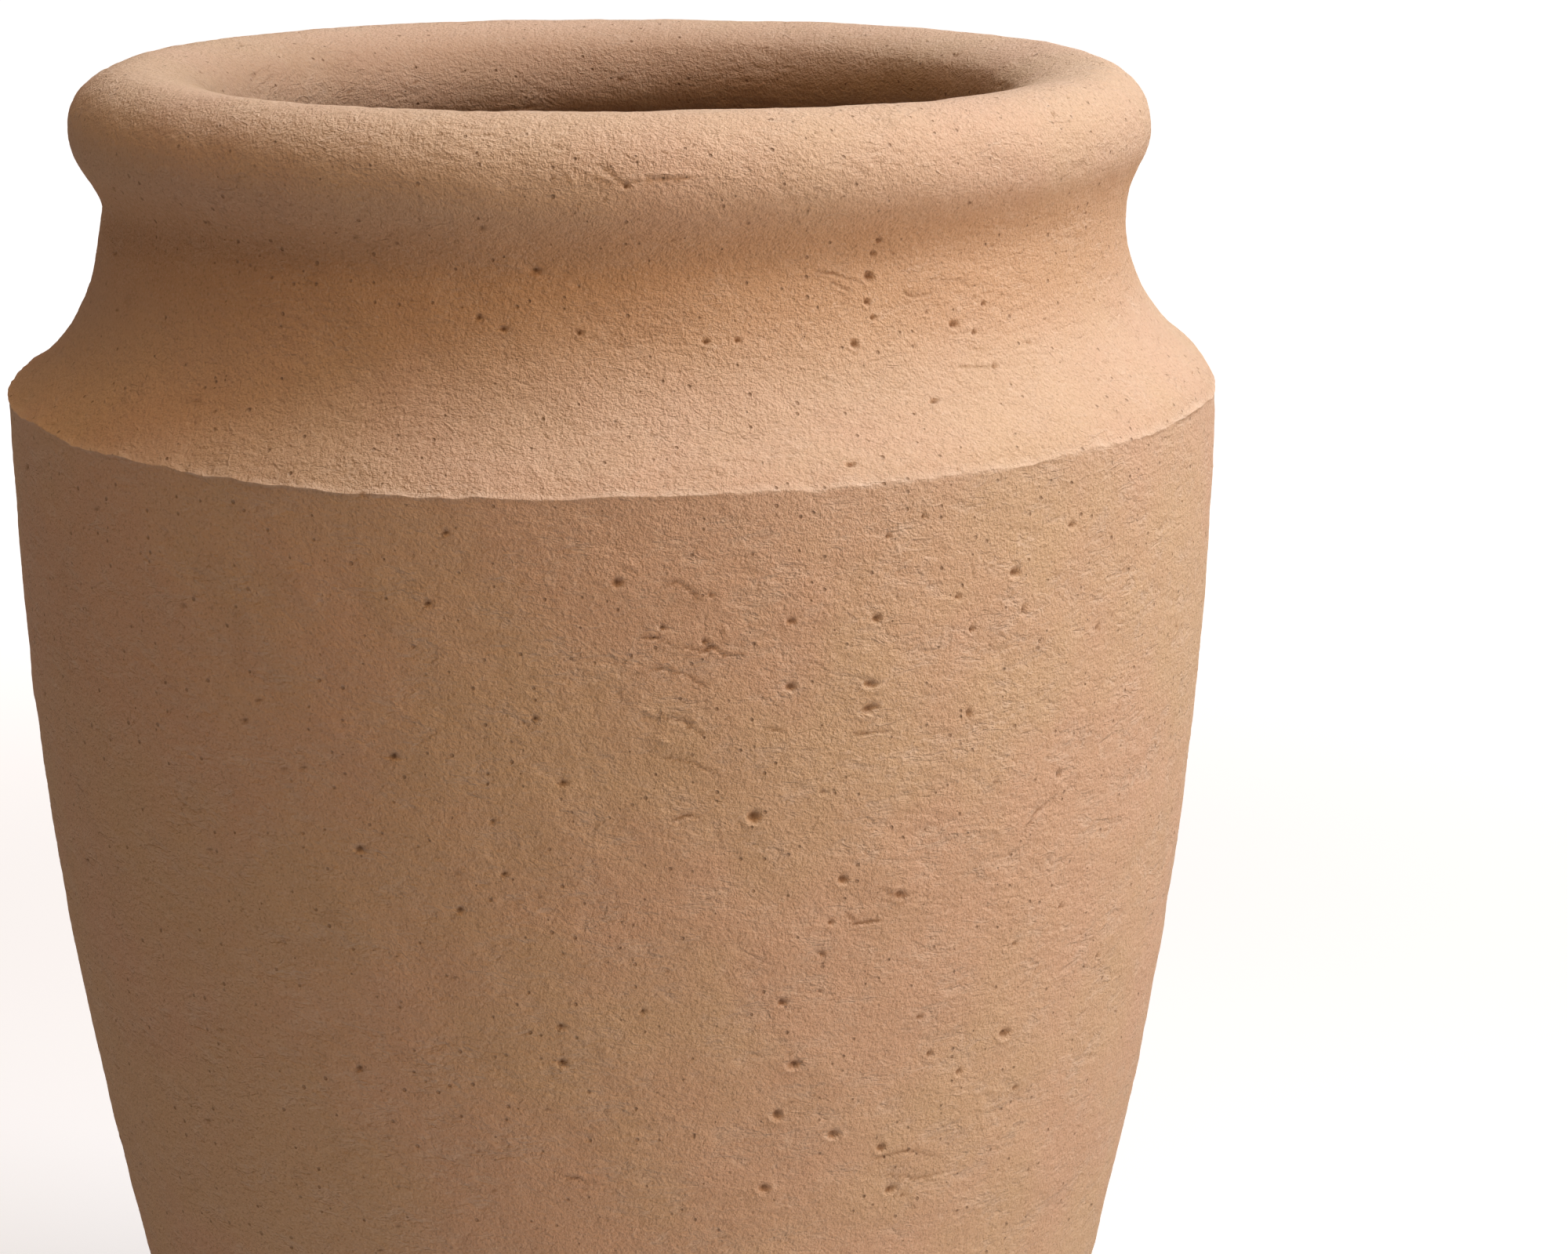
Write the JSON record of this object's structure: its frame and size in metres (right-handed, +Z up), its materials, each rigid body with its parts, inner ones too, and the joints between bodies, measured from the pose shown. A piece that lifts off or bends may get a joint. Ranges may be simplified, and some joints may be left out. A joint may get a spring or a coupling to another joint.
{
  "type": "pithos storage jar",
  "caption": "Tall open ceramic storage jar with a rolled rim, hollow neck, sharp-edged shoulder and a long wall tapering to a flat foot.",
  "frame": {"origin": "centre of the flat underside, on the ground", "axes": "+Z up along the jar's axis, from the foot to the rim"},
  "size_m": [0.5, 0.5, 0.7],
  "materials": {
    "fired_clay": "unglazed, coarse and matte"
  },
  "bodies": {
    "root": {"base": "fired_clay", "lower_wall": "fired_clay", "middle_wall": "fired_clay", "upper_wall": "fired_clay", "belly_wall": "fired_clay", "shoulder": "fired_clay", "neck": "fired_clay", "rim_roll": "fired_clay"}
  },
  "joints": []
}
